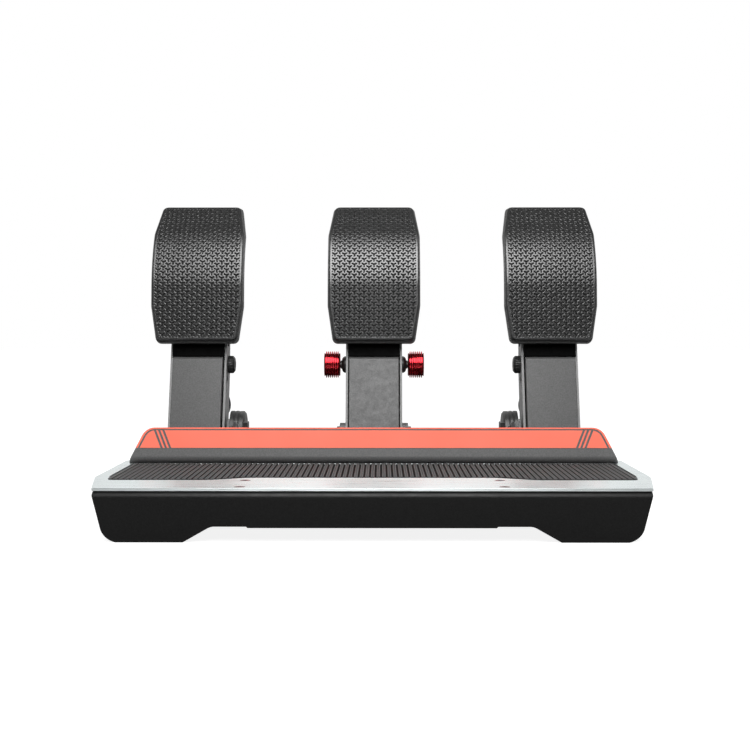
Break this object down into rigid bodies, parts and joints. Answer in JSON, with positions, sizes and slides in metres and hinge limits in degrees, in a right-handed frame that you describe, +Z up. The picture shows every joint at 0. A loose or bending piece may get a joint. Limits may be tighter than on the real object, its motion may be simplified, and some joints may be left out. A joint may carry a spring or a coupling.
{
  "type": "sim racing pedal set",
  "caption": "Driving-game pedal set: sprung clutch, brake and throttle arms with curved rubber pads on a folded base with a brushed, ribbed heel plate and a coloured heel stop.",
  "frame": {"origin": "centre of the footprint on the floor plane", "axes": "+X to the driver's right, +Y away from the driver, +Z up"},
  "size_m": [0.335, 0.303, 0.2095],
  "materials": {
    "tray": "fine textured black powder coat",
    "heel_plate": "brushed, clear anodised",
    "mat": "matt ribbed rubber",
    "screw": "darkened steel",
    "stop": "satin grey powder coat",
    "trim": "satin printed film",
    "post": "zinc plated",
    "foot": "matt",
    "case": "fine grain",
    "board": "solder mask",
    "cheek": "milled, clear anodised",
    "bolt": "black oxide",
    "bush": "self-lubricating polymer",
    "pin": "zinc plated",
    "sensor": "fine grain",
    "side_plate": "milled, clear anodised",
    "cover": "dark grey anodised",
    "block": "milled",
    "bracket": "black anodised",
    "pad_plate": "grey powder coat",
    "pad": "moulded relief, satin",
    "tube": "dark anodised",
    "rod": "ground and plated",
    "collar": "dark anodised",
    "spring": "plated wire",
    "elastomer": "cast elastomer",
    "washer": "plated",
    "cell": "machined",
    "knob": "red anodised"
  },
  "bodies": {
    "base": {"base_tray": "tray", "heel_plate": "heel_plate", "heel_mat": "mat", "heel_screws": "screw", "heel_stop": "stop", "heel_stop_trim": "trim", "heel_stop_screws": "screw", "mount_posts": "post", "rubber_feet": "foot", "controller_case": "case", "controller_lid": "case", "circuit_boards": "board", "clutch_cheeks": "cheek", "brake_cheeks": "cheek", "throttle_cheeks": "cheek", "cheek_bolts": "bolt", "pivot_bushes": "bush", "rear_pins": "pin", "sensor_caps": "sensor"},
    "clutch_arm": {"clutch_side_plates": "side_plate", "clutch_front_plate": "cover", "clutch_arm_block": "block", "clutch_pad_bracket": "bracket", "clutch_pad_plate": "pad_plate", "clutch_pad_cover": "pad", "clutch_pivot_shaft": "bolt", "clutch_cross_bolt": "bolt"},
    "brake_arm": {"brake_side_plates": "side_plate", "brake_front_plate": "cover", "brake_arm_block": "block", "brake_pad_bracket": "bracket", "brake_pad_plate": "pad_plate", "brake_pad_cover": "pad", "brake_pivot_shaft": "bolt", "brake_cross_bolt": "bolt"},
    "throttle_arm": {"throttle_side_plates": "side_plate", "throttle_front_plate": "cover", "throttle_arm_block": "block", "throttle_pad_bracket": "bracket", "throttle_pad_plate": "pad_plate", "throttle_pad_cover": "pad", "throttle_pivot_shaft": "bolt", "throttle_cross_bolt": "bolt"},
    "clutch_strut": {"clutch_strut_tube": "tube"},
    "clutch_slider": {"clutch_rod": "rod", "clutch_collar": "collar", "clutch_spring": "spring"},
    "brake_strut": {"brake_strut_tube": "tube", "brake_load_cell": "cell"},
    "brake_slider": {"brake_rod": "rod", "brake_collar": "collar", "brake_elastomers": "elastomer", "brake_washers": "washer"},
    "brake_left_knob": {"brake_knob_left": "knob"},
    "brake_right_knob": {"brake_knob_right": "knob"},
    "throttle_strut": {"throttle_strut_tube": "tube"},
    "throttle_slider": {"throttle_rod": "rod", "throttle_collar": "collar", "throttle_spring": "spring"}
  },
  "joints": [
    {"name": "clutch_press", "type": "hinge", "parent": "base", "child": "clutch_arm", "pos_m": [-0.125, 0.0332, 0.0479], "axis": [-1, 0, 0], "range_deg": [0, 20], "stiffness_Nm_per_rad": 14, "springref_deg": -6.88},
    {"name": "clutch_strut_tilt", "type": "hinge", "parent": "base", "child": "clutch_strut", "pos_m": [-0.125, 0.1375, 0.0398], "axis": [-1, 0, 0], "range_deg": [0, 1.2]},
    {"name": "clutch_rod_slide", "type": "slide", "parent": "clutch_strut", "child": "clutch_slider", "axis": [0, 0.8527, -0.5224], "range_m": [0, 0.0169], "deforming": ["clutch_spring"]},
    {"name": "brake_press", "type": "hinge", "parent": "base", "child": "brake_arm", "pos_m": [0, 0.0332, 0.0479], "axis": [-1, 0, 0], "range_deg": [0, 10], "stiffness_Nm_per_rad": 80, "springref_deg": -2.29},
    {"name": "brake_strut_tilt", "type": "hinge", "parent": "base", "child": "brake_strut", "pos_m": [0, 0.1375, 0.0398], "axis": [-1, 0, 0], "range_deg": [0, 1]},
    {"name": "brake_rod_slide", "type": "slide", "parent": "brake_strut", "child": "brake_slider", "axis": [0, 0.8527, -0.5224], "range_m": [0, 0.0085], "deforming": ["brake_elastomers", "brake_washers"]},
    {"name": "throttle_press", "type": "hinge", "parent": "base", "child": "throttle_arm", "pos_m": [0.125, 0.0332, 0.0479], "axis": [-1, 0, 0], "range_deg": [0, 18], "stiffness_Nm_per_rad": 10, "springref_deg": -6.88},
    {"name": "throttle_strut_tilt", "type": "hinge", "parent": "base", "child": "throttle_strut", "pos_m": [0.125, 0.1375, 0.0398], "axis": [-1, 0, 0], "range_deg": [0, 1.2]},
    {"name": "throttle_rod_slide", "type": "slide", "parent": "throttle_strut", "child": "throttle_slider", "axis": [0, 0.8527, -0.5224], "range_m": [0, 0.0153], "deforming": ["throttle_spring"]},
    {"name": "brake_left_knob_turn", "type": "hinge", "parent": "brake_arm", "child": "brake_left_knob", "pos_m": [-0.03, 0.04772, 0.0948], "axis": [-1, 0, 0], "continuous": true},
    {"name": "brake_right_knob_turn", "type": "hinge", "parent": "brake_arm", "child": "brake_right_knob", "pos_m": [0.03, 0.04772, 0.0948], "axis": [1, 0, 0], "continuous": true}
  ],
  "couplings": [
    {"joint": "clutch_strut_tilt", "follows": "clutch_press", "ratio": 0.055},
    {"joint": "clutch_rod_slide", "follows": "clutch_press", "m_per_rad": 0.048201},
    {"joint": "brake_strut_tilt", "follows": "brake_press", "ratio": 0.0875},
    {"joint": "brake_rod_slide", "follows": "brake_press", "m_per_rad": 0.048096},
    {"joint": "throttle_strut_tilt", "follows": "throttle_press", "ratio": 0.0625},
    {"joint": "throttle_rod_slide", "follows": "throttle_press", "m_per_rad": 0.048411}
  ]
}
